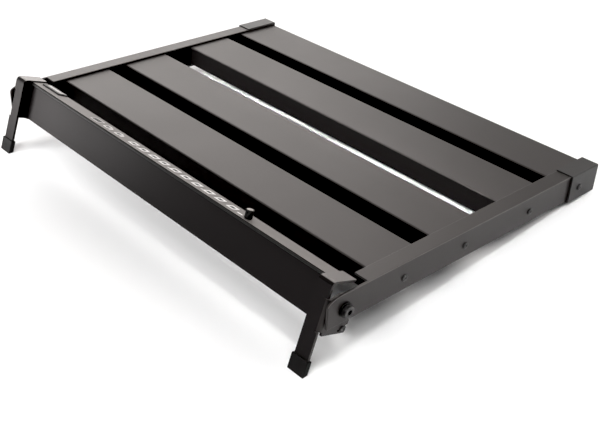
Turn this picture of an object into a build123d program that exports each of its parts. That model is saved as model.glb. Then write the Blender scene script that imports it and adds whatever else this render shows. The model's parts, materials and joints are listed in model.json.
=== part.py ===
from build123d import *
import os
from math import asin, cos, degrees, radians, sin, sqrt

# Slatted effects-pedal deck with a fold-under front leg frame.
#
# Three frames are used, all in millimetres:
#   deck frame   X along the slats, Y from the raised edge to the rear, Z out of the deck;
#                z = 0 is the top of the side rails and y = 0 is their front end
#   swing frame  axes of the leg frame, origin on the hinge axis, -Z down the legs
#   row frame    the deck tilted onto its feet, origin bottom centre of the whole object

# ---------------------------------------------------------------- driving dimensions
board_width = 600.0          # over the outer faces of the side rails
deck_tilt = 5.8              # slope of the deck with the legs down, degrees
leg_splay = 18.5             # legs lean forward of the deck's normal, degrees
fold_angle = 90.0 + leg_splay  # turn that brings the legs parallel to the deck

# side rails: C channels
rail_height = 32.7
rail_flange = 20.0
rail_wall = 2.5
rail_nose_long = 19.0        # rounded front corner of the web, along the rail
rail_nose_high = 8.5         # and down the front
flange_setback = 53.5        # flanges are cut back here to let the leg frame fold
rail_edge_round = 0.9
flange_edge_round = 0.7      # inner edge of the top flange

# slats: hollow tubes with a screw boss
slat_width = 67.6
slat_wall = 1.8
slat_round = 1.8
slat_count = 4
front_space = 71.0           # rail's front end to the first slat
slat_gaps = (26.2, 44.6, 25.4)
slat_end_gap = 0.3           # slat end to web
flange_gap = 0.5             # rail flange to slat face
slat_rear_gap = 0.4          # last slat to the rail's rear end
boss_radius = 4.2
rib_wall = 1.6

# rear corner caps
cap_length = 53.2
cap_top = 1.3                # wall over the rail's top flange
cap_side = 2.8
cap_bottom = 1.2
cap_end = 1.4                # end wall behind the rail
cap_round = 1.6
cap_gap = 0.05
rest_rise = 0.7              # how much of the cap's rear edge is cut flat to rest on

# deck screws
screw_radius = 2.0
screw_core = 1.85            # hole that the thread bites into
screw_head_radius = 3.8
screw_head_height = 1.7
screw_length = 15.0
screw_hole_gap = 0.25
socket_depth = 1.0
socket_size = 1.25           # radius of the driver socket
head_round = 0.45            # share of a low head's height that is rounded

# hinge
pivot_y = 22.7
pivot_z = -18.2
shoulder_radius = 4.0
shoulder_fit = 0.05          # running clearance in the cheek
bolt_head_radius = 6.0
bolt_head_height = 4.6
bolt_thread_radius = 3.0
bolt_head_round = 0.9
bolt_socket_radius = 2.9
bolt_socket_depth = 2.6
bolt_tail = 1.0              # thread past the nut
nut_height = 6.0
nut_across = 10.0
nut_collar = 1.5             # height of the nut's round locking collar
nut_collar_share = 0.86      # collar's width over the nut's
outer_washer_radius = 8.0
outer_washer_height = 2.0
spacer_radius = 7.5
spacer_height = 2.0          # between rail web and cheek
inner_washer_radius = 7.0
inner_washer_height = 1.0
bolt_hole_gap = 0.1
stop_pin_radius = 2.0
stop_pin_orbit = 12.5        # from the hinge axis
stop_gap = 0.15              # shoulder to stop pin at each end of the travel
stop_pin_tail = 1.0          # past the cheek's inner face
stop_pin_round = 0.4

# leg brackets, bent from sheet
sheet = 3.0
leg_width = 18.5
leg_inset = 6.0              # rail's outer face to the leg's outer edge
leg_ahead = 22.3             # hinge axis to the leg's front face
bracket_rise = 27.3          # hinge axis to the bracket's top face
bracket_depth = 33.0         # top flange, from the leg's front face back
top_bend = 6.0               # outside radius at the head of the leg
side_bend = 5.0              # outside radius between leg and cheek
cheek_drop = 29.3            # hinge axis to the cheek's lower edge
cheek_back = 15.8            # hinge axis to the cheek's rear lower corner
cheek_lean = 2.1             # the rear edge leans back this much
cheek_corner = 2.0
edge_lower = -41.0           # direction of the cheek's rear shoulder from the hinge
shoulder_back = 7.0          # front end of the cheek's top edge, ahead of the hinge
bend_foot = -25.0            # lower and upper ends of the side bend
bend_head = 9.0
relief = 1.0                 # cut beside each end of the bend
shoulder_rise = 14.2         # top of the cheek's stop shoulder above the axis
hub_gap = 0.4                # stop pin to hub
index_orbit = 27.2           # index holes, from the hinge axis
index_angles = (-77.0, -65.0, -53.0)
index_hole_radius = 1.4
index_head_radius = 3.4
index_head_gap = 0.4         # screw head to the rail's web
index_screw_tail = 1.5       # past the cheek's inner face

# rubber foot caps
foot_length = 16.6           # up the leg's front face
foot_front = 1.9
foot_side = 1.9
foot_back = 1.5
foot_sole = 4.0              # rubber under the end of the leg
foot_round = 1.0

# front beam, bent from sheet
beam_sheet = 2.0
beam_back = 13.8             # leg's front face to the panel's face
beam_height = 48.3
beam_depth = 17.1            # top flange
beam_return = 13.0           # bottom flange
beam_bend = 2.5
joggle_bend = 4.0            # inside radius where the panel turns forward to the leg
joggle_inset = 0.5           # inner edge of the leg to the joggled wall
tab_length = 11.0
end_tuck = 4.0               # top flange ends this far short of the leg's outer edge
tab_screw_share = 0.6        # of the way along the tab
tab_screw_places = (9.0, -13.0)
tab_screw_depth = 2.0

# trim strip on the beam
trim_sheet = 1.2
trim_lip = 4.6
trim_rear_lip = 3.2
trim_round = 0.6
trim_gap = 0.2

# blank badge plate and knurled knob on the trim
badge_length = 46.0
badge_width = 10.5
badge_height = 1.8
badge_slant = 5.0
badge_corner = 1.2
badge_chamfer = 0.5
badge_edge = 0.4             # badge to the trim's rear edge
badge_inset = 33.0           # rail's outer face to the badge
knob_radius = 4.5
knob_height = 9.8
knob_chamfer = 0.5
knob_x = 150.6
knob_back = 7.0              # trim's front edge to the knob's axis
knob_stud_radius = 1.8
knob_stud_length = 6.6
knob_stud_seat = 1.2         # stud's length inside the knob
knob_stud_room = 0.3         # round the stud in the beam
knob_float = 0.2
knob_flutes = 10
knob_flute_radius = 0.8

# ---------------------------------------------------------------- worked-out places
half = board_width / 2
web_inside = half - rail_wall
cheek_outside = web_inside - spacer_height
cheek_inside = cheek_outside - sheet
leg_outer = half - leg_inset
leg_inner = leg_outer - leg_width

slat_fronts = [front_space]
for gap in slat_gaps:
    slat_fronts.append(slat_fronts[-1] + slat_width + gap)
slat_middles = [front + slat_width / 2 for front in slat_fronts]
rail_length = slat_fronts[-1] + slat_width + slat_rear_gap
slat_top = -rail_wall - flange_gap
slat_height = rail_height - 2 * (rail_wall + flange_gap)
slat_mid = slat_top - slat_height / 2
screw_z = slat_mid - 1.5
board_back = rail_length + cap_end
cap_front = board_back - cap_length
cap_floor = -rail_height - cap_bottom

leg_front = -leg_ahead
leg_back = leg_front + sheet
flange_under = bracket_rise - sheet
panel_face = leg_front + beam_back
panel_foot = flange_under - beam_height
trim_front = panel_face - trim_sheet
trim_top = flange_under + trim_sheet
trim_back = panel_face + beam_depth + trim_gap + trim_sheet

stop_half = degrees(asin((stop_pin_radius + stop_gap) / stop_pin_orbit))
pin_angle = edge_lower + stop_half + fold_angle
edge_upper = pin_angle + stop_half
hub_radius = stop_pin_orbit - stop_pin_radius - hub_gap


def tilt(y, z, angle):
    """Point (y, z) turned about X by minus the angle."""
    a = radians(angle)
    return y * cos(a) + z * sin(a), z * cos(a) - y * sin(a)


floor_z = tilt(board_back, cap_floor, deck_tilt)[1] + rest_rise
pivot_high = tilt(pivot_y, pivot_z, deck_tilt)[1] - floor_z


def floor_under(y):
    """Swing-frame height of the floor at depth y."""
    lean = radians(leg_splay + deck_tilt)
    return (y * sin(lean) - pivot_high) / cos(lean)


leg_end = floor_under(leg_back) + foot_sole
foot_top = floor_under(leg_front) + foot_length

swing_to_deck = Pos(0, pivot_y, pivot_z) * Rot(-leg_splay, 0, 0)
deck_to_floor = Rot(-deck_tilt, 0, 0)


# ---------------------------------------------------------------- small helpers
def block(x, y, z):
    """Box between pairs of coordinates."""
    size = [abs(pair[1] - pair[0]) for pair in (x, y, z)]
    middle = [(pair[0] + pair[1]) / 2 for pair in (x, y, z)]
    return Pos(*middle) * Box(*size)


def along_x(sketch, start, end):
    """Sketch drawn in Y and Z, pushed along X."""
    return Pos(start, 0, 0) * extrude(Plane.YZ * sketch, end - start)


def rod(radius, start, end, y, z):
    """Round bar along X."""
    return Pos((start + end) / 2, y, z) * Rot(0, 90, 0) * Cylinder(radius, abs(end - start))


def on_x(shape, x):
    """Edges of a shape that lie in the plane at x."""
    return shape.edges().filter_by_position(Axis.X, x - 0.001, x + 0.001)


def orbit(radius, angle):
    """Swing-frame point at a radius and direction from the hinge axis."""
    return radius * cos(radians(angle)), radius * sin(radians(angle))


def mirrored(shape):
    return mirror(shape, about=Plane.YZ)


def cap_screw(seat, tip, y, z, radius=screw_radius):
    """Low round-head screw along X with its head on the seat and its tip inboard."""
    head = rod(screw_head_radius, seat, seat + screw_head_height, y, z)
    head = fillet(on_x(head, seat + screw_head_height), screw_head_height * head_round)
    socket = Pos(seat + screw_head_height - socket_depth, y, z) * Rot(0, 90, 0) * extrude(
        RegularPolygon(socket_size, 6), socket_depth
    )
    return head + rod(radius, tip, seat, y, z) - socket


# ---------------------------------------------------------------- deck
def web_outline():
    """Side view of a rail's web with its rounded front corner."""
    with BuildSketch() as outline:
        with BuildLine():
            Polyline(
                (0, -rail_nose_high), (0, -rail_height), (rail_length, -rail_height),
                (rail_length, 0), (rail_nose_long, 0),
            )
            EllipticalCenterArc(
                (rail_nose_long, -rail_nose_high), rail_nose_long, rail_nose_high, 90, arc_size=90
            )
        make_face()
    return outline.sketch


def rail():
    body = along_x(web_outline(), web_inside, half)
    for low, high in ((-rail_wall, 0), (-rail_height, rail_wall - rail_height)):
        body += block((half - rail_flange, half), (flange_setback, rail_length), (low, high))
    rims = on_x(body, half).filter_by(lambda edge: edge.center().Y < rail_length - 0.01)
    body = fillet(rims, rail_edge_round)
    body = fillet(on_x(body, half - rail_flange).sort_by(Axis.Z)[-1], flange_edge_round)
    body -= rod(shoulder_radius + bolt_hole_gap, web_inside - 1, half + 1, pivot_y, pivot_z)
    for middle in slat_middles:
        body -= rod(screw_radius + screw_hole_gap, web_inside - 1, half + 1, middle, screw_z)
    return body


def slat(middle):
    tube = RectangleRounded(slat_width, slat_height, slat_round)
    bore = RectangleRounded(slat_width - 2 * slat_wall, slat_height - 2 * slat_wall, slat_wall / 3)
    boss = Pos(0, screw_z - slat_mid)
    section = tube - bore + Rectangle(rib_wall, slat_height) + boss * Circle(boss_radius)
    section -= boss * Circle(screw_core)
    reach = web_inside - slat_end_gap
    return Pos(0, middle, slat_mid) * along_x(section, -reach, reach)


def rear_cap():
    shell = block(
        (half - rail_flange, half + cap_side), (cap_front, board_back), (cap_floor, cap_top)
    )
    outside = shell.edges().filter_by(
        lambda edge: edge.center().X > half - rail_flange + 1
        and not (edge.center().Y < cap_front + 0.01)
    )
    shell = fillet(outside, cap_round)
    shell -= block(
        (half - rail_flange - 1, half + cap_gap),
        (cap_front - 1, rail_length + cap_gap),
        (-rail_height - cap_gap, cap_gap),
    )
    hole = rod(
        screw_radius + screw_hole_gap, half - 1, half + cap_side + 1, slat_middles[-1], screw_z
    )
    return shell - hole


def slat_screws():
    """Three screws on the web and a longer one through the rear cap."""
    seats = [half] * (slat_count - 1) + [half + cap_side]
    tip = web_inside - slat_end_gap - screw_length
    return [
        cap_screw(seat, tip, middle, screw_z, screw_core)
        for seat, middle in zip(seats, slat_middles)
    ]


# ---------------------------------------------------------------- hinge hardware
def ring(radius, hole, start, end):
    return rod(radius, start, end, pivot_y, pivot_z) - rod(
        hole, start - 1, end + 1, pivot_y, pivot_z
    )


def pivot_bolt():
    seat = half + outer_washer_height
    nut_face = cheek_inside - inner_washer_height
    head = rod(bolt_head_radius, seat, seat + bolt_head_height, pivot_y, pivot_z)
    head = fillet(on_x(head, seat + bolt_head_height), bolt_head_round)
    mouth = seat + bolt_head_height - bolt_socket_depth
    socket = Pos(mouth, pivot_y, pivot_z) * Rot(0, 90, 0) * extrude(
        RegularPolygon(bolt_socket_radius, 6), bolt_socket_depth
    )
    shoulder = rod(shoulder_radius, nut_face, seat, pivot_y, pivot_z)
    thread = rod(
        bolt_thread_radius, nut_face - nut_height - bolt_tail, nut_face, pivot_y, pivot_z
    )
    return head + shoulder + thread - socket


def lock_nut():
    face = cheek_inside - inner_washer_height
    end = face - nut_height
    hexagon = Pos(end + nut_collar, pivot_y, pivot_z) * Rot(0, 90, 0) * extrude(
        RegularPolygon(nut_across / sqrt(3), 6), nut_height - nut_collar
    )
    collar = rod(nut_across / 2 * nut_collar_share, end, end + nut_collar, pivot_y, pivot_z)
    bore = rod(bolt_thread_radius, end - 1, face + 1, pivot_y, pivot_z)
    return hexagon + collar - bore


def stop_pin():
    """Stud on the web's inner face; the cheek's two shoulders meet it."""
    y, z = orbit(stop_pin_orbit, pin_angle - leg_splay)
    tip = cheek_inside - stop_pin_tail
    pin = rod(stop_pin_radius, tip, web_inside, pivot_y + y, pivot_z + z)
    return fillet(on_x(pin, tip), stop_pin_round)


# ---------------------------------------------------------------- leg frame (swing frame)
def leg_profile():
    """Side view of the bent strip: leg and top flange."""
    strip = make_face(
        Polyline(
            (leg_front, leg_end), (leg_front, bracket_rise),
            (leg_front + bracket_depth, bracket_rise), (leg_front + bracket_depth, flange_under),
            (leg_back, flange_under), (leg_back, leg_end), close=True,
        )
    )
    outer = strip.vertices().sort_by_distance((leg_front, bracket_rise, 0))[0]
    strip = fillet(outer, top_bend)
    inner = strip.vertices().sort_by_distance((leg_back, flange_under, 0))[0]
    return fillet(inner, top_bend - sheet)


def cheek_outline():
    """Side view of the cheek, with an open sector that the stop pin runs in."""
    rear_foot = (cheek_back, -cheek_drop)
    rear_head = orbit((cheek_back + cheek_lean) / cos(radians(edge_lower)), edge_lower)
    start, end = orbit(hub_radius, edge_lower), orbit(hub_radius, edge_upper)
    tip = orbit(shoulder_rise / sin(radians(edge_upper)), edge_upper)
    front = leg_front + side_bend
    with BuildSketch() as outline:
        with BuildLine():
            Polyline(
                tip, (-shoulder_back, shoulder_rise), (front, bend_head), (front, -cheek_drop),
                rear_foot, rear_head, start,
            )
            RadiusArc(start, end, -hub_radius)
            Line(end, tip)
        make_face()
    plate = outline.sketch
    corner = plate.vertices().sort_by_distance((*rear_foot, 0))[0]
    return fillet(corner, cheek_corner)


def side_bend_piece():
    """Quarter bend that joins the leg's outer edge to the cheek."""
    x, y = cheek_outside - side_bend, leg_front + side_bend
    bend = Circle(side_bend) - Circle(side_bend - sheet)
    bend &= Pos(side_bend / 2, -side_bend / 2) * Rectangle(side_bend, side_bend)
    return Pos(x, y, bend_foot) * extrude(bend, bend_head - bend_foot)


def leg_bracket():
    body = along_x(leg_profile(), leg_inner, leg_outer)
    bend_start = cheek_outside - side_bend
    body -= block(
        (bend_start, leg_outer + 1), (leg_front - 1, leg_back + 1),
        (bend_foot - relief, bend_head + relief),
    )
    cheek = along_x(cheek_outline(), cheek_inside, cheek_outside)
    cheek -= block(
        (cheek_inside - 1, cheek_outside + 1),
        (leg_front, leg_front + side_bend + relief), (-cheek_drop - 1, bend_foot),
    )
    cheek -= rod(shoulder_radius + shoulder_fit, cheek_inside - 1, cheek_outside + 1, 0, 0)
    for angle in index_angles:
        y, z = orbit(index_orbit, angle)
        cheek -= rod(index_hole_radius, cheek_inside - 1, cheek_outside + 1, y, z)
    body = body + side_bend_piece() + cheek
    for place in tab_screw_places:
        body -= tab_screw_hole(screw_core, leg_back - tab_screw_depth, leg_back + 1, place)
    return body


def tab_screw_x():
    return leg_inner + joggle_inset + tab_length * tab_screw_share


def tab_screw_hole(radius, start, end, z):
    """Round bar along Y at a tab screw."""
    return Pos(tab_screw_x(), (start + end) / 2, z) * Rot(90, 0, 0) * Cylinder(radius, end - start)


def tab_screws():
    """Screws from behind the beam's tab into the leg."""
    seat = leg_back + beam_sheet
    screws = []
    for place in tab_screw_places:
        head = tab_screw_hole(screw_head_radius, seat, seat + screw_head_height, place)
        rim = head.edges().sort_by(Axis.Y)[-1]
        head = fillet(rim, screw_head_height * head_round)
        shank = tab_screw_hole(screw_core, leg_back - tab_screw_depth, seat, place)
        screws.append(head + shank)
    return screws


def index_screw():
    """Low screw held in the middle index hole, its head outside the cheek."""
    y, z = orbit(index_orbit, index_angles[1])
    top = web_inside - index_head_gap
    head = rod(index_head_radius, cheek_outside, top, y, z)
    head = fillet(on_x(head, top), (top - cheek_outside) * head_round)
    socket = Pos(top - socket_depth, y, z) * Rot(0, 90, 0) * extrude(
        RegularPolygon(socket_size, 6), socket_depth
    )
    shank = rod(index_hole_radius, cheek_inside - index_screw_tail, cheek_outside, y, z)
    return head + shank - socket


def foot_cap():
    """Rubber sleeve over the end of the leg; its sole is cut level with the floor."""
    low = floor_under(leg_back + foot_back) - foot_sole * 2
    cap = block(
        (leg_inner - foot_side, leg_outer + foot_side),
        (leg_front - foot_front, leg_back + foot_back), (low, foot_top),
    )
    cap = fillet(cap.edges().filter_by(Axis.Z) + cap.edges().sort_by(Axis.Z)[-4:], foot_round)
    return cap - block((leg_inner, leg_outer), (leg_front, leg_back), (leg_end, foot_top + 1))


def beam_profile():
    """Side view of the beam: top flange, panel and bottom return."""
    top, foot, face = flange_under, panel_foot, panel_face
    channel = make_face(
        Polyline(
            (face + beam_depth, top), (face, top), (face, foot), (face + beam_return, foot),
            (face + beam_return, foot + beam_sheet), (face + beam_sheet, foot + beam_sheet),
            (face + beam_sheet, top - beam_sheet), (face + beam_depth, top - beam_sheet),
            close=True,
        )
    )
    for y, z, radius in (
        (face, top, beam_bend), (face, foot, beam_bend),
        (face + beam_sheet, foot + beam_sheet, beam_bend - beam_sheet),
        (face + beam_sheet, top - beam_sheet, beam_bend - beam_sheet),
    ):
        corner = channel.vertices().sort_by_distance((y, z, 0))[0]
        channel = fillet(corner, radius)
    return channel


def joggle():
    """Panel end turned forward and out, flat against the back of the leg."""
    wall = leg_inner + joggle_inset
    turn_x, turn_y = wall - joggle_bend, panel_face - joggle_bend
    outer = joggle_bend + beam_sheet
    bend = Circle(outer) - Circle(joggle_bend)
    bend &= Pos(outer / 2, outer / 2) * Rectangle(outer, outer)
    low, high = panel_foot, trim_top - trim_lip - trim_gap
    piece = Pos(turn_x, turn_y, low) * extrude(bend, high - low)
    piece += block((wall, wall + beam_sheet), (leg_back + beam_sheet, turn_y), (low, high))
    tab_top = flange_under - top_bend + beam_sheet / 2
    piece += block((wall, wall + tab_length), (leg_back, leg_back + beam_sheet), (low, tab_top))
    for place in tab_screw_places:
        piece -= tab_screw_hole(
            screw_radius + screw_hole_gap, leg_back - 1, leg_back + beam_sheet + 1, place
        )
    return piece


def front_beam():
    turn_x = leg_inner + joggle_inset - joggle_bend
    body = along_x(beam_profile(), -turn_x, turn_x)
    reach = leg_outer - end_tuck
    body += block(
        (-reach, reach), (panel_face + beam_bend, panel_face + beam_depth),
        (flange_under - beam_sheet, flange_under),
    )
    body += joggle() + mirrored(joggle())
    return body - knob_hole(knob_stud_radius + knob_stud_room)


def trim_profile():
    face = trim_front
    cap = make_face(
        Polyline(
            (face, trim_top), (trim_back, trim_top), (trim_back, flange_under - trim_rear_lip),
            (trim_back - trim_sheet, flange_under - trim_rear_lip),
            (trim_back - trim_sheet, flange_under), (face + trim_sheet, flange_under),
            (face + trim_sheet, trim_top - trim_lip), (face, trim_top - trim_lip), close=True,
        )
    )
    for y in (face, trim_back):
        corner = cap.vertices().sort_by_distance((y, trim_top, 0))[0]
        cap = fillet(corner, trim_round)
    return cap


def top_trim():
    reach = leg_inner - trim_gap
    strip = along_x(trim_profile(), -reach, reach)
    return strip - knob_hole(knob_stud_radius + shoulder_fit)


def knob_hole(radius):
    y = trim_front + knob_back
    return Pos(knob_x, y, flange_under) * Cylinder(radius, 20)


def badge_plate():
    """Blank raised plate with slanted ends."""
    back = trim_back - badge_edge
    front = back - badge_width
    left = -half + badge_inset
    outline = make_face(
        Polyline(
            (left, front), (left + badge_length - badge_slant, front),
            (left + badge_length, back), (left + badge_slant, back), close=True,
        )
    )
    outline = fillet(outline.vertices(), badge_corner)
    plate = Pos(0, 0, trim_top) * extrude(outline, badge_height)
    return chamfer(plate.faces().sort_by(Axis.Z)[-1].edges(), badge_chamfer)


def knurled_knob():
    y = trim_front + knob_back
    body = Cylinder(knob_radius, knob_height)
    body = chamfer(body.edges().filter_by(GeomType.CIRCLE), knob_chamfer)
    for flute in PolarLocations(knob_radius, knob_flutes):
        body -= flute * Cylinder(knob_flute_radius, knob_height + 1)
    body = Pos(knob_x, y, trim_top + knob_float + knob_height / 2) * body
    stud_top = trim_top + knob_float + knob_stud_seat
    stud = Pos(knob_x, y, stud_top - knob_stud_length / 2) * Cylinder(
        knob_stud_radius, knob_stud_length
    )
    return body + stud


# ---------------------------------------------------------------- assembly
def both_sides(name, shapes):
    """Right-hand shapes and their mirror images as a pair of named nodes."""
    shapes = shapes if isinstance(shapes, list) else [shapes]
    return {
        f"{name}_right": shapes,
        f"{name}_left": [mirrored(shape) for shape in shapes],
    }


def on_floor(nodes, place):
    """Place each node's shapes in the tilted deck frame."""
    return {name: [place * shape for shape in shapes] for name, shapes in nodes.items()}


def build():
    nut_face = cheek_inside - inner_washer_height
    hole = shoulder_radius + bolt_hole_gap
    deck = {
        **both_sides("rail", rail()),
        **both_sides("rear_cap", rear_cap()),
        **both_sides("slat_screws", slat_screws()),
        **both_sides("pivot_bolt", pivot_bolt()),
        **both_sides("pivot_nut", lock_nut()),
        **both_sides("outer_washer", ring(outer_washer_radius, hole, half, half + outer_washer_height)),
        **both_sides("hinge_spacer", ring(spacer_radius, hole, cheek_outside, web_inside)),
        **both_sides("inner_washer", ring(inner_washer_radius, hole, nut_face, cheek_inside)),
        **both_sides("stop_pin", stop_pin()),
    }
    for number, middle in enumerate(slat_middles, start=1):
        deck[f"slat_{number}"] = [slat(middle)]
    legs = {
        **both_sides("leg_bracket", leg_bracket()),
        **both_sides("foot_cap", foot_cap()),
        **both_sides("beam_screws", tab_screws()),
        **both_sides("index_screw", index_screw()),
        "front_beam": [front_beam()],
        "top_trim": [top_trim()],
        "badge_plate": [badge_plate()],
        "knurled_knob": [knurled_knob()],
    }
    nodes = {
        **on_floor(deck, deck_to_floor),
        **on_floor(legs, deck_to_floor * swing_to_deck),
    }
    reach = board_width + rail_length
    ground = block((-reach, reach), (-reach, reach), (floor_z - reach, floor_z))
    for name in ("foot_cap", "rear_cap"):
        for side in ("left", "right"):
            key = f"{name}_{side}"
            nodes[key] = [shape - ground for shape in nodes[key]]
    return nodes


def settle(nodes):
    """Move everything so that the origin is the bottom centre of the whole object."""
    everything = Compound(children=[shape for shapes in nodes.values() for shape in shapes])
    box = everything.bounding_box()
    shift = Pos(-box.center().X, -box.center().Y, -floor_z)
    print("row box", [round(v, 3) for v in (box.size.X, box.size.Y, box.size.Z)])
    print("shift", [round(v, 4) for v in (-box.center().X, -box.center().Y, -floor_z)])
    return {name: [shift * shape for shape in shapes] for name, shapes in nodes.items()}


def main():
    os.makedirs("parts", exist_ok=True)
    for name, shapes in settle(build()).items():
        solids = [solid for shape in shapes for solid in shape.solids()]
        node = solids[0] if len(solids) == 1 else Compound(children=solids)
        export_step(node, f"parts/{name}.step")


main()
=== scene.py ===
"""Looks for the slatted pedalboard: finishes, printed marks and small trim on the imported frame."""

import json
import math
import random

import bmesh
import bpy
from mathutils import Euler, Matrix, Vector


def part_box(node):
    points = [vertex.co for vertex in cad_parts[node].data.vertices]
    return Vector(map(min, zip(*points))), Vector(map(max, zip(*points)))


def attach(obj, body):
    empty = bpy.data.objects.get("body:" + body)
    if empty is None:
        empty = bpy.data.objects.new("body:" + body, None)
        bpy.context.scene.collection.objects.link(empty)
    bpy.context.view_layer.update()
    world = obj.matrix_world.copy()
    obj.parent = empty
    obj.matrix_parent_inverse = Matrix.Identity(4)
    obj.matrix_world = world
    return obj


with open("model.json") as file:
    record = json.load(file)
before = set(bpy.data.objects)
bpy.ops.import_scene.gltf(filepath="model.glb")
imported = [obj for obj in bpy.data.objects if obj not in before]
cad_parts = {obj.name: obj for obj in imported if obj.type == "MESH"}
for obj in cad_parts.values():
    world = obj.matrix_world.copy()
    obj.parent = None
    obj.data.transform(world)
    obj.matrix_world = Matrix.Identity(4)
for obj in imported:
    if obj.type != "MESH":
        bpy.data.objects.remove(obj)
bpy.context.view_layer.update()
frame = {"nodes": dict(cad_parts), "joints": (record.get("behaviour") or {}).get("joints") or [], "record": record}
mm = 0.001


# ---------------------------------------------------------------- node trees
class Wire:
    """A socket of a finish's node tree. Arithmetic on it adds Math nodes."""

    def __init__(self, finish, socket):
        self.finish, self.socket = finish, socket

    def math(self, operation, *values):
        return self.finish.node("Math", {"operation": operation}, dict(enumerate(values)))

    def __add__(self, other):
        return self.math("ADD", self, other)

    def __sub__(self, other):
        return self.math("SUBTRACT", self, other)

    def __radd__(self, other):
        return self.math("ADD", other, self)

    def __rsub__(self, other):
        return self.math("SUBTRACT", other, self)

    def __rmul__(self, other):
        return self.math("MULTIPLY", other, self)


class Finish:
    """One procedural material around a principled shader."""

    def __init__(self, name, **constants):
        self.material = bpy.data.materials.new(name)
        self.material.use_nodes = True
        self.tree = self.material.node_tree
        self.shader = self.tree.nodes["Principled BSDF"]
        for socket, value in constants.items():
            self.shader.inputs[socket.replace("_", " ")].default_value = value

    def feed(self, socket, value):
        """Links a wire to a socket, or sets the socket to a plain value."""
        if isinstance(value, Wire):
            self.tree.links.new(value.socket, socket)
        else:
            socket.default_value = value

    def node(self, kind, settings=None, inputs=None, output=0):
        """Any node: its settings first, then the values or links of its sockets."""
        made = self.tree.nodes.new("ShaderNode" + kind)
        for key, value in (settings or {}).items():
            if key == "stops":
                for stop, (place, level) in zip(made.color_ramp.elements, value):
                    stop.position, stop.color = place, (level, level, level, 1)
            else:
                setattr(made, key, value)
        for key, value in (inputs or {}).items():
            self.feed(made.inputs[key], value)
        return Wire(self, made.outputs[output])

    def place(self, stretch=(1, 1, 1)):
        """Position on the piece in metres, stretched along its axes."""
        where = self.node("TexCoord", output="Object")
        return self.node("VectorMath", {"operation": "MULTIPLY"}, {0: where, 1: stretch})

    def noise(self, size, detail, rough=0.5, stretch=(1, 1, 1)):
        """Noise from 0 to 1 with lumps of a size in metres."""
        return self.node("TexNoise", {}, {
            "Vector": self.place(stretch), "Scale": 1 / size, "Detail": detail, "Roughness": rough,
        })

    def specks(self, size, low, high):
        """Sparse round specks, 1 at their middles; low and high are shares of their spacing."""
        cell = self.node("TexVoronoi", {}, {"Vector": self.place(), "Scale": 1 / size})
        return self.node("ValToRGB", {"stops": ((low, 1), (high, 0))}, {"Fac": cell})

    def tones(self, factor, dark, light):
        """Colour between two tones. The Mix node's colour sockets are 6 and 7, its colour out 2."""
        inputs = {0: factor, 6: (*dark, 1), 7: (*light, 1)}
        return self.node("Mix", {"data_type": "RGBA"}, inputs, output=2)

    def relief(self, height, depth):
        """Normal of a relief of a depth in metres."""
        return self.node("Bump", {}, {"Height": height, "Distance": depth, "Strength": 1.0})

    def wear(self, colour, roughness, normal=None, metallic=None):
        """Feeds the shader's sockets and gives the finished material."""
        for socket, value in (("Base Color", colour), ("Roughness", roughness),
                              ("Normal", normal), ("Metallic", metallic)):
            if value is not None:
                self.feed(self.shader.inputs[socket], value)
        return self.material


# ---------------------------------------------------------------- finishes
fine_relief = 0.01 * mm      # depth of brushed lines, oxide and ink


def powder_coat(name, tone, roughness, peel=0.035 * mm, specular=0.5):
    """Satin powder coat: fine orange peel, slow cloudiness and a little dust."""
    finish = Finish(name, Specular_IOR_Level=specular, Specular_Tint=(1.0, 0.93, 0.91, 1))
    clouds = finish.noise(110 * mm, detail=3)
    grain = finish.noise(0.9 * mm, detail=1)
    pits = finish.noise(0.35 * mm, detail=0)
    dust = finish.specks(13 * mm, 0.012, 0.03)
    light = tuple(1.5 * level for level in tone)
    colour = finish.tones(0.5 * clouds + 0.3 * grain + 0.35 * dust, tone, light)
    rough = roughness - 0.06 + 0.09 * clouds + 0.05 * grain + 0.12 * dust
    return finish.wear(colour, rough, finish.relief(grain + 0.3 * pits, peel))


def brushed(name, dark, light, roughness, metallic, along=(0.02, 1, 1)):
    """Fine lines drawn along X, as rolled or brushed strip has."""
    finish = Finish(name, Specular_IOR_Level=0.5, Metallic=metallic)
    lines = finish.noise(0.4 * mm, detail=3, rough=0.65, stretch=along)
    clouds = finish.noise(60 * mm, detail=2)
    colour = finish.tones(0.65 * lines + 0.35 * clouds, dark, light)
    return finish.wear(colour, roughness + 0.14 * lines, finish.relief(lines, fine_relief))


def moulded(name, dark, light, roughness, grain_size, depth, specular=0.5):
    """Moulded plastic or rubber with a spark-eroded grain."""
    finish = Finish(name, Specular_IOR_Level=specular)
    grain = finish.noise(grain_size, detail=2, rough=0.6)
    clouds = finish.noise(20 * mm, detail=3)
    rubbed = finish.specks(6 * mm, 0.02, 0.09)
    colour = finish.tones(0.45 * clouds + 0.3 * grain + 0.25 * rubbed, dark, light)
    rough = roughness + 0.1 * grain - 0.08 * clouds
    return finish.wear(colour, rough, finish.relief(grain, depth))


def oxide(name, dark, light, roughness):
    """Black oxide on steel, with a slightly worn sheen."""
    finish = Finish(name)
    worn = finish.noise(3.5 * mm, detail=4, rough=0.6)
    fine = finish.noise(0.5 * mm, detail=2)
    bare = finish.node("ValToRGB", {"stops": ((0.45, 0), (0.75, 1))}, {"Fac": worn})
    colour = finish.tones(0.7 * bare + 0.3 * fine, dark, light)
    rough, metallic = roughness + 0.12 * fine - 0.1 * bare, 0.85 - 0.2 * bare
    return finish.wear(colour, rough, finish.relief(fine, fine_relief), metallic)


def printed_ink(name, tone):
    """Screen-printed ink, thinner in small patches."""
    finish = Finish(name, Specular_IOR_Level=0.4)
    cover = finish.noise(0.6 * mm, detail=3, rough=0.7)
    worn = tuple(0.45 * level for level in tone)
    colour = finish.tones(0.35 + 0.9 * cover, worn, tone)
    return finish.wear(colour, 0.5 + 0.2 * cover, finish.relief(cover, fine_relief))


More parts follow.
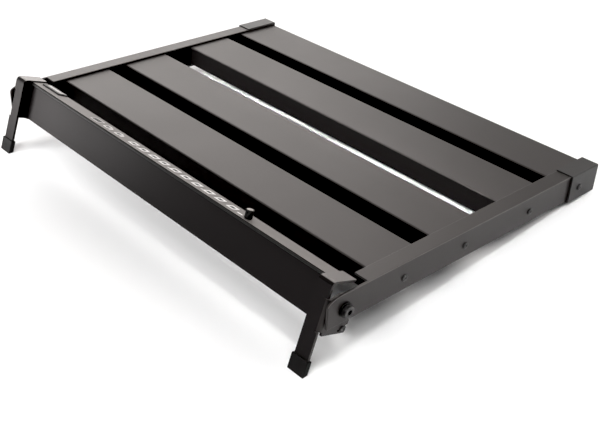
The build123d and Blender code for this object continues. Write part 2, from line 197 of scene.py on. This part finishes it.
def pale_floor():
    """Plain matt floor, very slightly uneven in tone."""
    finish = Finish("pale_floor", Specular_IOR_Level=0.2)
    clouds = finish.noise(800 * mm, detail=2)
    colour = finish.tones(clouds, (0.93, 0.93, 0.935), (0.96, 0.96, 0.962))
    return finish.wear(colour, 0.75 + 0.1 * clouds)


finishes = {
    "rail_powder_coat": powder_coat("rail_powder_coat", (0.0085, 0.0077, 0.0075), 0.42),
    "slat_powder_coat": powder_coat("slat_powder_coat", (0.0100, 0.0090, 0.0087), 0.46),
    "bracket_powder_coat": powder_coat("bracket_powder_coat", (0.0090, 0.0082, 0.0080), 0.42),
    "beam_powder_coat": powder_coat(
        "beam_powder_coat", (0.0085, 0.0077, 0.0079), 0.62, specular=0.16),
    "trim_anodised": brushed(
        "trim_anodised", (0.09, 0.082, 0.078), (0.19, 0.175, 0.167), 0.5, 0.1),
    "badge_metal": moulded(
        "badge_metal", (0.006, 0.006, 0.006), (0.02, 0.019, 0.019), 0.4, 0.6 * mm, 0.01 * mm),
    "cap_plastic": moulded(
        "cap_plastic", (0.008, 0.0072, 0.007), (0.02, 0.018, 0.0175), 0.46, 0.6 * mm, 0.03 * mm),
    "foot_rubber": moulded(
        "foot_rubber", (0.005, 0.0046, 0.0045), (0.013, 0.012, 0.0118), 0.72, 0.8 * mm,
        0.05 * mm, 0.2),
    "black_fasteners": oxide("black_fasteners", (0.03, 0.03, 0.031), (0.13, 0.125, 0.12), 0.34),
    "black_washer": oxide("black_washer", (0.008, 0.008, 0.008), (0.03, 0.029, 0.028), 0.5),
    "nylon_spacer": moulded(
        "nylon_spacer", (0.008, 0.008, 0.008), (0.02, 0.02, 0.02), 0.45, 0.5 * mm, 0.01 * mm),
    "knob_black": oxide("knob_black", (0.012, 0.012, 0.012), (0.06, 0.058, 0.056), 0.38),
}

# Finishes of chosen faces and of the small pieces made below. The face finishes are painted light: a dark coat for
# painted shade, lighter coats for painted highlights and sheen.
# Painted shade: a near-black matt coat for faces that the board shades itself, such as gap sides and inner walls.
painted_shade_coat = powder_coat("painted_shade_coat", (0.0036, 0.0033, 0.0033), 0.7, specular=0.12)
bead_coat = powder_coat("bead_coat", (0.014, 0.0145, 0.0140), 0.55, specular=0.2)
# Painted highlight: a much lighter coat for bevelled edges and rounded rail edges, where light catches them.
painted_highlight_coat = powder_coat("painted_highlight_coat", (0.075, 0.070, 0.068), 0.45)
# Painted sheen: a lighter coat that makes the bracket flange tops look lit.
flange_painted_sheen_coat = powder_coat("flange_painted_sheen_coat", (0.085, 0.079, 0.076), 0.38)
# Painted highlight: a lighter brushed finish for the strip's bevelled edges.
trim_painted_highlight = brushed("trim_painted_highlight", (0.2, 0.19, 0.18), (0.34, 0.325, 0.31), 0.45, 0.2)
badge_face = brushed("badge_face", (0.07, 0.066, 0.064), (0.16, 0.153, 0.148), 0.5, 0.1)
knob_face = brushed(
    "knob_face", (0.2, 0.19, 0.18), (0.42, 0.4, 0.38), 0.35, 0.9, along=(1, 1, 1))
mark_ink = printed_ink("mark_ink", (0.78, 0.765, 0.75))
dark_ink = printed_ink("dark_ink", (0.012, 0.012, 0.012))

cad_crease = math.radians(28)        # faces that meet at less shade as one curve
piece_crease = math.radians(32)      # the same, on the small pieces made below
bevel_crease = math.radians(50)      # sharper edges than this get a bevel

slot_of = {part["node"]: part["material_slot"] for part in frame["record"]["subparts"]}
for node, piece in frame["nodes"].items():
    piece.data.materials.clear()
    piece.data.materials.append(finishes[slot_of[node]])
    piece.data.shade_smooth()
    piece.data.set_sharp_from_angle(angle=cad_crease)


# ---------------------------------------------------------------- places on the leg frame
joints = {joint["name"]: joint for joint in frame["joints"]}
hinge = Vector(joints["leg_frame_fold"]["pos_m"])
knob_axis = Vector(joints["knob_turn"]["axis"])
side = Vector((1, 0, 0))
strip_frame = Matrix((side, knob_axis.cross(side), knob_axis)).transposed().to_4x4()
strip_frame.translation = hinge
upright = strip_frame.to_3x3().inverted()


# ---------------------------------------------------------------- second finishes
strip_edge_width = 0.3 * mm
bracket_edge_width = 0.35 * mm
panel_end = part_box("front_beam")[1].x - 17 * mm      # the beam's flat front stops here


def second_finish(node, material, chosen):
    """Gives the chosen faces of a CAD node a finish of their own."""
    mesh = frame["nodes"][node].data
    mesh.materials.append(material)
    for face in mesh.polygons:
        if chosen(face.center, face.normal):
            face.material_index = len(mesh.materials) - 1


def bevel_with_painted_highlight(node, width, material):
    """Thin bevel on a CAD node's sharp edges, with a lighter coat on it as a painted highlight."""
    piece = frame["nodes"][node]
    piece.data.materials.append(material)
    bevel = piece.modifiers.new("soft_edges", "BEVEL")
    bevel.width, bevel.segments = width, 2
    bevel.limit_method, bevel.angle_limit = "ANGLE", bevel_crease
    bevel.harden_normals = True
    bevel.material = len(piece.data.materials) - 1


# Each test takes the middle and the normal of a face. Legs are judged in the strip's frame.
def on_slat_side(center, normal):
    return abs(normal.y) > 0.9


# Faces past the beam's flat front, its end walls, which get painted shade.
def past_panel(center, normal):
    return abs(center.x) > panel_end and normal.z < 0.8


def on_strip_lip(center, normal):
    return (upright @ normal).y < -0.8


def on_inner_side(center, normal):
    return normal.x * center.x < -0.15


def on_head_bend(center, normal):
    return (upright @ normal).y < -0.6 and (upright @ normal).z > 0.25


def on_leg_front(center, normal):
    return (upright @ normal).y < -0.95


def on_flange_top(center, normal):
    return (upright @ normal).z > 0.8


def on_rail_bend(center, normal):
    return 0.3 < normal.z < 0.93 and abs(normal.x) > 0.3


# Painted shade: the slat sides in the gaps, the beam's end walls, the strip's lip and the brackets' inner sides
# and head bends get the dark coat.
for number in range(1, 5):
    second_finish(f"slat_{number}", painted_shade_coat, on_slat_side)
second_finish("front_beam", painted_shade_coat, past_panel)
second_finish("top_trim", painted_shade_coat, on_strip_lip)
# Painted highlight on the strip's sharp edges, through a lighter bevel.
bevel_with_painted_highlight("top_trim", strip_edge_width, trim_painted_highlight)
for side_name in ("left", "right"):
    bracket = f"leg_bracket_{side_name}"
    second_finish(bracket, painted_shade_coat, on_inner_side)
    second_finish(bracket, painted_shade_coat, on_head_bend)
    second_finish(bracket, finishes["beam_powder_coat"], on_leg_front)
    # Painted sheen: the flange tops get the lighter coat.
    second_finish(bracket, flange_painted_sheen_coat, on_flange_top)
    # Painted highlight: the bracket's sharp edges get a lighter bevel.
    bevel_with_painted_highlight(bracket, bracket_edge_width, painted_highlight_coat)
    # Painted highlight: the rails' rounded outer top edges get the lighter coat.
    second_finish(f"rail_{side_name}", painted_highlight_coat, on_rail_bend)
# Flat faces stay flat beside the bevels and the small curves.
for piece in frame["nodes"].values():
    even = piece.modifiers.new("even_normals", "WEIGHTED_NORMAL")
    even.keep_sharp, even.weight = True, 100


def extent(node, place):
    """Lowest and highest corner of a CAD node in a local frame."""
    inverse = place.inverted()
    points = [inverse @ vertex.co for vertex in frame["nodes"][node].data.vertices]
    return (Vector(map(min, *points)), Vector(map(max, *points)))


trim_low, trim_high = extent("top_trim", strip_frame)
badge_low, badge_high = extent("badge_plate", strip_frame)
knob_low, knob_high = extent("knurled_knob", strip_frame)


# ---------------------------------------------------------------- mesh helpers
def add_piece(name, shape, place, body, material):
    """Makes a mesh into a piece that rides on a CAD body."""
    mesh = bpy.data.meshes.new(name)
    shape.to_mesh(mesh)
    shape.free()
    mesh.transform(place)
    mesh.materials.append(material)
    mesh.shade_smooth()
    mesh.set_sharp_from_angle(angle=piece_crease)
    piece = bpy.data.objects.new(name, mesh)
    bpy.context.scene.collection.objects.link(piece)
    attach(piece, body)


def join_rings(shape, first, second):
    """Band of faces between two closed rings of as many vertices."""
    count = len(first)
    for index in range(count):
        after = (index + 1) % count
        shape.faces.new((first[index], first[after], second[after], second[index]))


def raise_outline(shape, outline, low, high, hole=None):
    """Closed prism on an outline of (x, y) points; a hole of as many points makes it a ring."""
    bottom, top = [[shape.verts.new((*point, z)) for point in outline] for z in (low, high)]
    join_rings(shape, bottom, top)
    if hole:
        inner_bottom, inner_top = [
            [shape.verts.new((*point, z)) for point in hole] for z in (low, high)]
        join_rings(shape, inner_top, inner_bottom)
        join_rings(shape, inner_bottom, bottom)
        join_rings(shape, top, inner_top)
    else:
        shape.faces.new(bottom[::-1])
        shape.faces.new(top)


def rounded(points, radius, steps=3):
    """Outline with its corners rounded."""
    corners = [Vector(point) for point in points]
    made = []
    for index, corner in enumerate(corners):
        before = (corners[index - 1] - corner).normalized()
        after = (corners[(index + 1) % len(corners)] - corner).normalized()
        start, end = corner + before * radius, corner + after * radius
        for step in range(steps + 1):
            share = step / steps
            made.append(tuple(start.lerp(corner, share).lerp(corner.lerp(end, share), share)))
    return made


def slanted(x, y, width, depth, lean):
    """Leaning rectangle, anticlockwise from its front left corner."""
    return [(x, y), (x + width, y), (x + width + lean, y + depth), (x + lean, y + depth)]


# ---------------------------------------------------------------- printed marks on the strip
ink_sunk, ink_proud, middle_lower = 0.02 * mm, 0.05 * mm, 0.03 * mm
ink_low, ink_high = trim_high.z - ink_sunk, trim_high.z + ink_proud
frame_corner, middle_corner = 0.8 * mm, 0.35 * mm
dash_corner = 0.3                    # share of the dash's smaller side
row_front = (trim_low.y + trim_high.y) / 2 - 4.6 * mm
box_count, first_box, box_pitch = 10, -66, 20.2      # places in mm


def print_frame(pale, dark, x, y, width, depth, stroke, lean):
    """Pale leaning box with a dark middle."""
    outer = rounded(slanted(x, y, width, depth, lean), frame_corner)
    inset = slanted(x + stroke + lean * stroke / depth, y + stroke, width - 2 * stroke,
                    depth - 2 * stroke, lean * (1 - 2 * stroke / depth))
    middle = rounded(inset, middle_corner)
    raise_outline(pale, outer, ink_low, ink_high, middle)
    raise_outline(dark, middle, ink_low, ink_high - middle_lower)


def print_dash(pale, x, y, width, depth, lean=0.3 * mm):
    """Small pale leaning bar."""
    outline = rounded(slanted(x, y, width, depth, lean), min(width, depth) * dash_corner)
    raise_outline(pale, outline, ink_low, ink_high)


def strip_marks():
    """Plain boxes and dashes in a row, in place of any lettering."""
    rolls = random.Random(7)
    pale, dark = bmesh.new(), bmesh.new()
    print_frame(pale, dark, -146 * mm, row_front, width=17 * mm, depth=8.8 * mm,
                stroke=0.8 * mm, lean=2.4 * mm)
    for x in (-119 * mm, -96 * mm):
        print_frame(pale, dark, x, row_front + 0.5 * mm, width=9 * mm, depth=8.0 * mm,
                    stroke=1.5 * mm, lean=2.4 * mm)
        print_dash(pale, x + 11.5 * mm, row_front + 0.6 * mm, width=2.6 * mm, depth=5.5 * mm,
                   lean=1.4 * mm)
    for index in range(box_count):
        x = (first_box + box_pitch * index) * mm
        width = rolls.uniform(10.5, 13) * mm
        print_frame(pale, dark, x, row_front + 0.2 * mm, width, depth=8.6 * mm,
                    stroke=2.3 * mm, lean=2.6 * mm)
        if index % 3 == 1:
            print_dash(pale, x - 2.6 * mm, row_front, width=1.8 * mm, depth=2.2 * mm)
    print_dash(pale, 134 * mm, row_front + 0.2 * mm, width=8 * mm, depth=2.2 * mm)
    add_piece("strip_marks", pale, strip_frame, "leg_frame", mark_ink)
    add_piece("strip_mark_middles", dark, strip_frame, "leg_frame", dark_ink)


strip_marks()


# ---------------------------------------------------------------- badge and knob faces
badge_rim, badge_lean, badge_corner = 1.5 * mm, 5 * mm, 0.9 * mm
slant_rim = 1.7 * badge_rim          # rim at the badge's slanted end
inlay_sunk, inlay_proud = 0.1 * mm, 0.12 * mm
bar_count, first_bar, bar_pitch = 6, 7.5, 5.4        # places in mm
bar_width, bar_depth, bar_lean, bar_corner = 3.2 * mm, 4.2 * mm, 2.0 * mm, 0.5 * mm
bar_inset = 3.2 * mm


def badge_inlay():
    """Grey plate on the badge, with plain pale bars in place of a name."""
    plate, bars = bmesh.new(), bmesh.new()
    low, high, rim = badge_low, badge_high, badge_rim
    top = high.z + inlay_proud
    outline = [(low.x + rim, low.y + rim), (high.x - badge_lean - rim, low.y + rim),
               (high.x - slant_rim, high.y - rim), (low.x + badge_lean, high.y - rim)]
    raise_outline(plate, rounded(outline, badge_corner), high.z - inlay_sunk, top)
    add_piece("badge_inlay", plate, strip_frame, "leg_frame", badge_face)
    for index in range(bar_count):
        x = low.x + (first_bar + bar_pitch * index) * mm
        bar = slanted(x, low.y + bar_inset, bar_width, bar_depth, bar_lean)
        raise_outline(bars, rounded(bar, bar_corner), top - ink_sunk, top + ink_proud)
    add_piece("badge_bars", bars, strip_frame, "leg_frame", mark_ink)


badge_inlay()

# Share of the knob's radius, and height over its top in mm, from the rim to the middle.
cap_profile = ((0.80, -0.10), (0.80, 0.08), (0.74, 0.28), (0.60, 0.36), (0.54, 0.25),
               (0.46, 0.25), (0.40, 0.37), (0.0, 0.42))
cap_sides = 48


def knob_cap():
    """Turned cap on the knob with a shallow ring groove."""
    shape = bmesh.new()
    middle = (knob_low + knob_high) / 2
    top, radius = knob_high.z, (knob_high.x - knob_low.x) / 2
    turns = [math.tau * step / cap_sides for step in range(cap_sides)]
    rings = [[shape.verts.new((middle.x + radius * share * math.cos(turn),
                               middle.y + radius * share * math.sin(turn), top + rise * mm))
              for turn in turns] for share, rise in cap_profile[:-1]]
    for lower, upper in zip(rings, rings[1:]):
        join_rings(shape, lower, upper)
    tip = shape.verts.new((middle.x, middle.y, top + cap_profile[-1][1] * mm))
    last = rings[-1]
    for step in range(cap_sides):
        shape.faces.new((last[step], last[(step + 1) % cap_sides], tip))
    shape.faces.new(rings[0][::-1])
    add_piece("knob_cap", shape, strip_frame, "knob", knob_face)


knob_cap()


# ---------------------------------------------------------------- bead along the strip's lip
bead_height, bead_depth, bead_steps = 2.8 * mm, 0.9 * mm, 8
bead_drop, bead_seat, bead_end_gap = 2.5 * mm, 0.2 * mm, 0.4 * mm


def lip_bead():
    """Half-round bead along the front lip, a little below its top."""
    shape = bmesh.new()
    half = bead_height / 2
    base, middle = trim_low.y, trim_high.z - bead_drop
    ends = (trim_low.x + bead_end_gap, trim_high.x - bead_end_gap)
    profile = [(base + bead_seat, middle + half)]
    for step in range(bead_steps + 1):
        turn = math.pi * step / bead_steps
        profile.append((base - bead_depth * math.sin(turn), middle + half * math.cos(turn)))
    profile.append((base + bead_seat, middle - half))
    left, right = [[shape.verts.new((x, y, z)) for y, z in profile] for x in ends]
    join_rings(shape, left, right)
    shape.faces.new(left[::-1])
    shape.faces.new(right)
    bmesh.ops.recalc_face_normals(shape, faces=shape.faces)
    add_piece("lip_bead", shape, strip_frame, "leg_frame", bead_coat)


lip_bead()


# ---------------------------------------------------------------- floor, light and camera
floor_half_width = 6.0
sky_strength = 0.12
white, warm = (1, 1, 1), (1.0, 0.965, 0.94)

floor_mesh = bpy.data.meshes.new("studio_floor")
floor_shape = bmesh.new()
bmesh.ops.create_grid(floor_shape, x_segments=1, y_segments=1, size=floor_half_width)
floor_shape.to_mesh(floor_mesh)
floor_shape.free()
floor_mesh.materials.append(pale_floor())
studio_floor = bpy.data.objects.new("studio_floor", floor_mesh)
bpy.context.scene.collection.objects.link(studio_floor)

world = bpy.data.worlds.new("studio")
world.use_nodes = True
sky = world.node_tree.nodes["Background"].inputs
sky["Color"].default_value = (*white, 1)
sky["Strength"].default_value = sky_strength
bpy.context.scene.world = world


def soft_light(name, place, aim, size, watts, spread=180, tone=white):
    """Rectangular light of a size in metres, turned towards a point; spread in degrees."""
    data = bpy.data.lights.new(name, "AREA")
    data.shape, data.size, data.size_y, data.energy = "RECTANGLE", *size, watts
    data.spread, data.color = math.radians(spread), tone
    lamp = bpy.data.objects.new(name, data)
    lamp.location = place
    lamp.visible_camera = False
    lamp.rotation_mode = "QUATERNION"
    lamp.rotation_quaternion = (Vector(aim) - Vector(place)).to_track_quat("-Z", "Y")
    bpy.context.scene.collection.objects.link(lamp)


# Large lights over and behind the board.
soft_light("overhead", (0.9, -0.6, 2.2), (0.2, -0.2, 0), size=(2.2, 2.2), watts=20)
soft_light("back_left", (-2.1, 1.2, 1.5), (0, 0, 0), size=(2.6, 2.0), watts=74, tone=warm)
soft_light("back", (0.6, 2.6, 1.7), (0, 0, 0), size=(2.4, 1.6), watts=42, tone=warm)
soft_light("back_right", (1.7, 1.5, 1.7), (0, 0, 0), size=(0.9, 0.9), watts=14)
soft_light("right_fill", (0.72, 0.3, 2.4), (0.66, 0.0, 0), size=(0.5, 0.5), watts=1.4, spread=32)
# Low lights that lie as sheen along the tops, and one that reaches the front.
soft_light("back_wall", (-1.6, 2.0, 0.30), (0, -0.1, 0.05), size=(3.0, 0.5), watts=8, tone=warm)
soft_light(
    "left_wall", (-2.5, 1.1, 0.3), (-0.29, -0.18, 0.08), size=(0.8, 0.4), watts=5, tone=warm)
soft_light("front_strip", (0.1, -1.80, 1.62), (0, 0.05, 0), size=(2.4, 0.4), watts=40)
# Narrow light through the gap between the second and third slats, onto the floor.
gap = Vector((0, (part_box("slat_2")[1].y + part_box("slat_3")[0].y) / 2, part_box("slat_2")[1].z))
soft_light(
    "gap_sheet", gap + Vector((0, -0.27, 0.24)), gap, size=(0.56, 0.02), watts=0.2, spread=10)
soft_light(
    "left_front", (-0.38, -0.40, 0.10), (-0.26, -0.19, 0.11), size=(0.12, 0.12), watts=0.48,
    spread=80)

camera_place = (0.78766, -0.65975, 0.64608)
camera_turns = (55.0895, 1.5854, 47.7556)        # degrees about X, Y and Z
camera_data = bpy.data.cameras.new("camera")
camera_data.lens = 57.594
camera = bpy.data.objects.new("camera", camera_data)
camera.location = camera_place
camera.rotation_euler = Euler([math.radians(turn) for turn in camera_turns])
bpy.context.scene.collection.objects.link(camera)
bpy.context.scene.camera = camera
view = bpy.context.scene.view_settings
view.view_transform = "Standard"
view.exposure = -0.3
view.use_curve_mapping = True
view.curve_mapping.black_level = (0.012, 0.012, 0.012)
